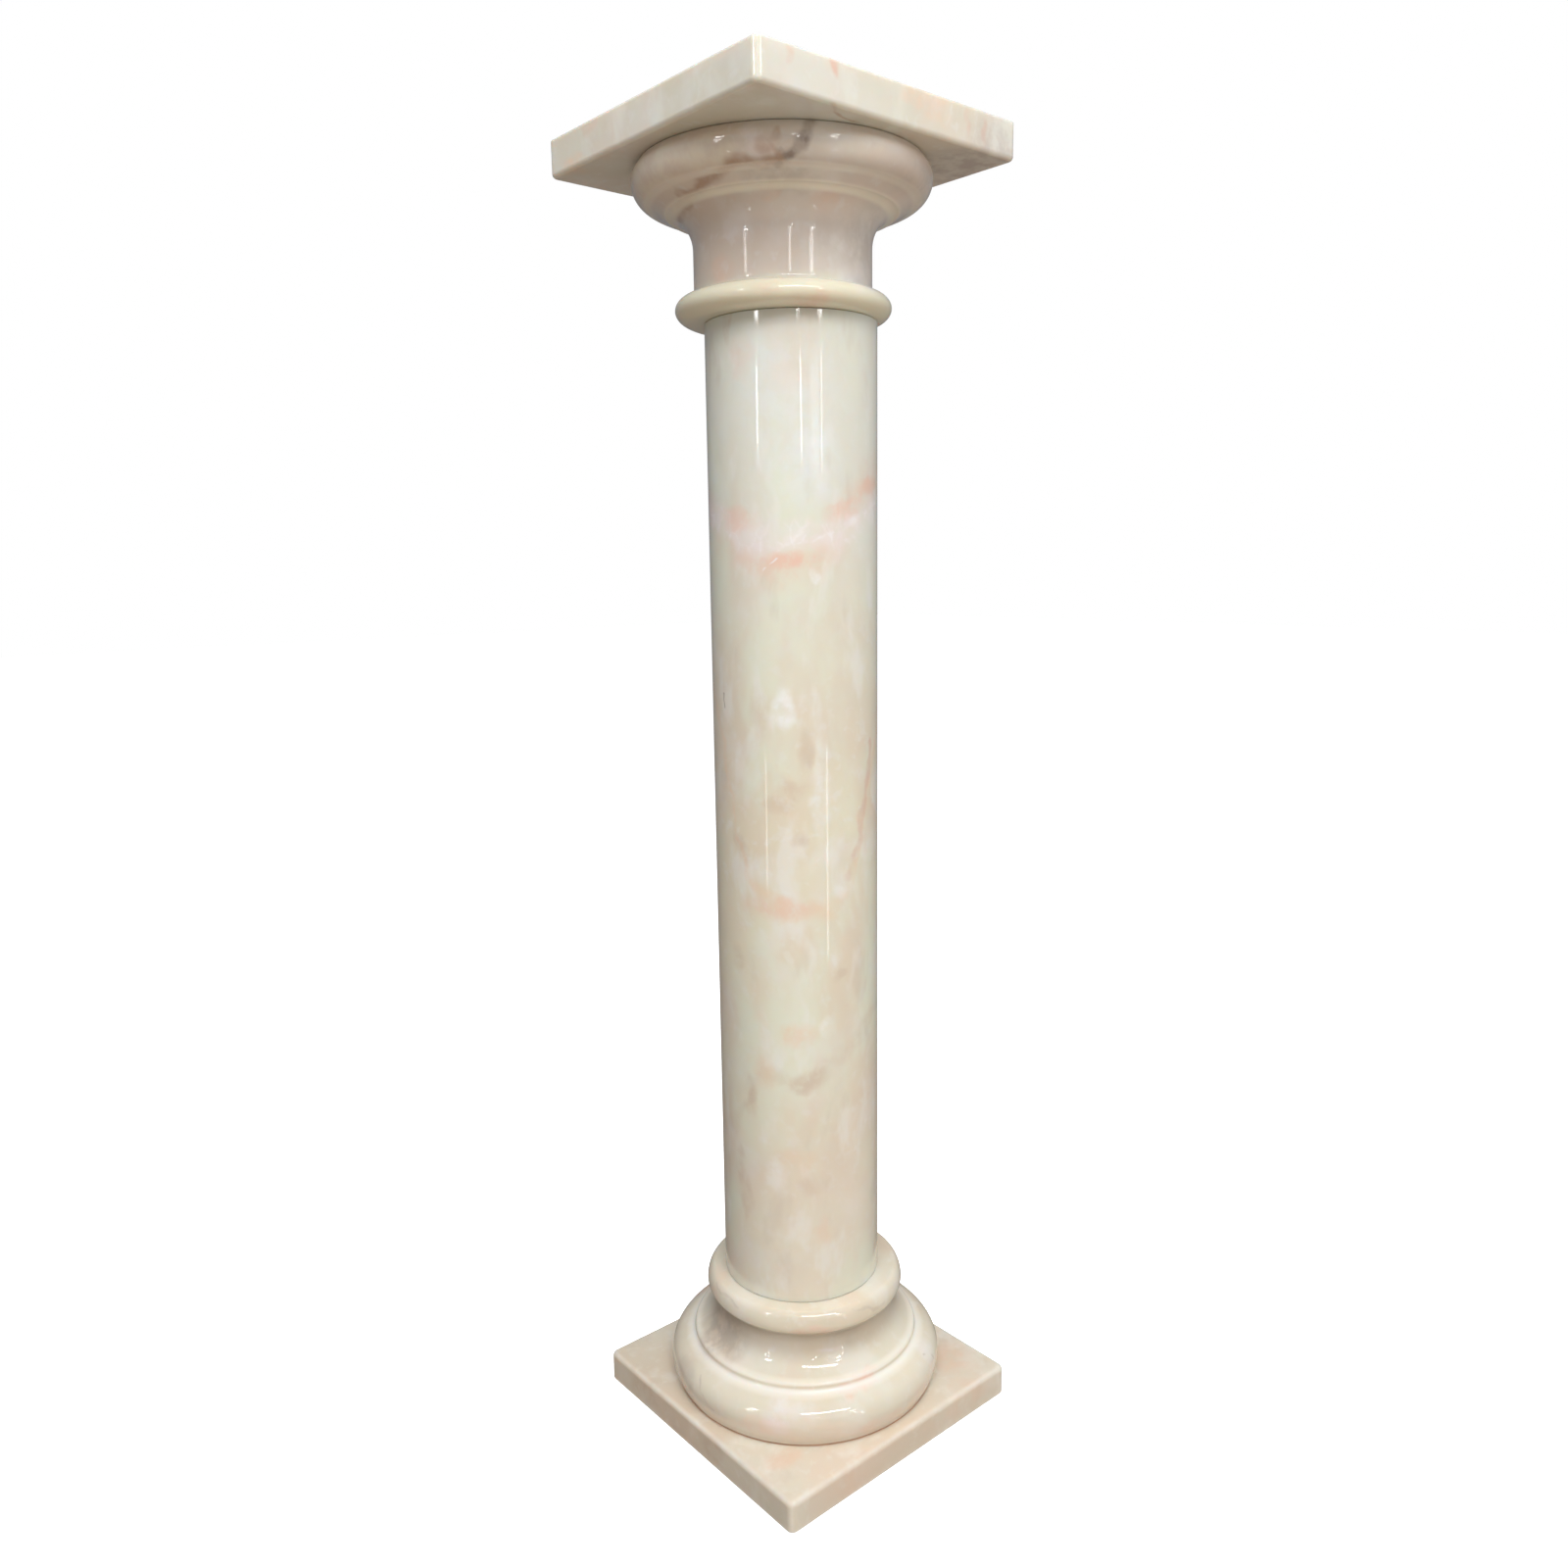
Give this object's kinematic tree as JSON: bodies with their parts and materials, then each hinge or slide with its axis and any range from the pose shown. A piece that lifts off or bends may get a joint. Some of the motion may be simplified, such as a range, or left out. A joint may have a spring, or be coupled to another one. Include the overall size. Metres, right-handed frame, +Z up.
{
  "type": "marble pedestal column",
  "caption": "Free-standing polished marble pedestal column: square plinth, turned base, plain round shaft, turned capital and square abacus as a platform.",
  "frame": {"origin": "centre of the plinth's underside", "axes": "+Z up along the column, X and Y along the sides of the slabs; the picture looks from the corner between -X and -Y"},
  "size_m": [0.2458, 0.2449, 1],
  "materials": {
    "plinth_stone": "polished cream marble with soft peach clouds",
    "base_stone": "polished ivory marble with salmon-pink clouds and white patches",
    "shaft_stone": "polished cream marble with salmon-pink bands and pale swirls",
    "capital_stone": "polished mauve-grey marble with a brown vein, creamier at the ring",
    "abacus_stone": "polished ivory marble with thin pink streaks"
  },
  "bodies": {
    "root": {"plinth": "plinth_stone", "base": "base_stone", "shaft": "shaft_stone", "capital": "capital_stone", "abacus": "abacus_stone"}
  },
  "joints": []
}
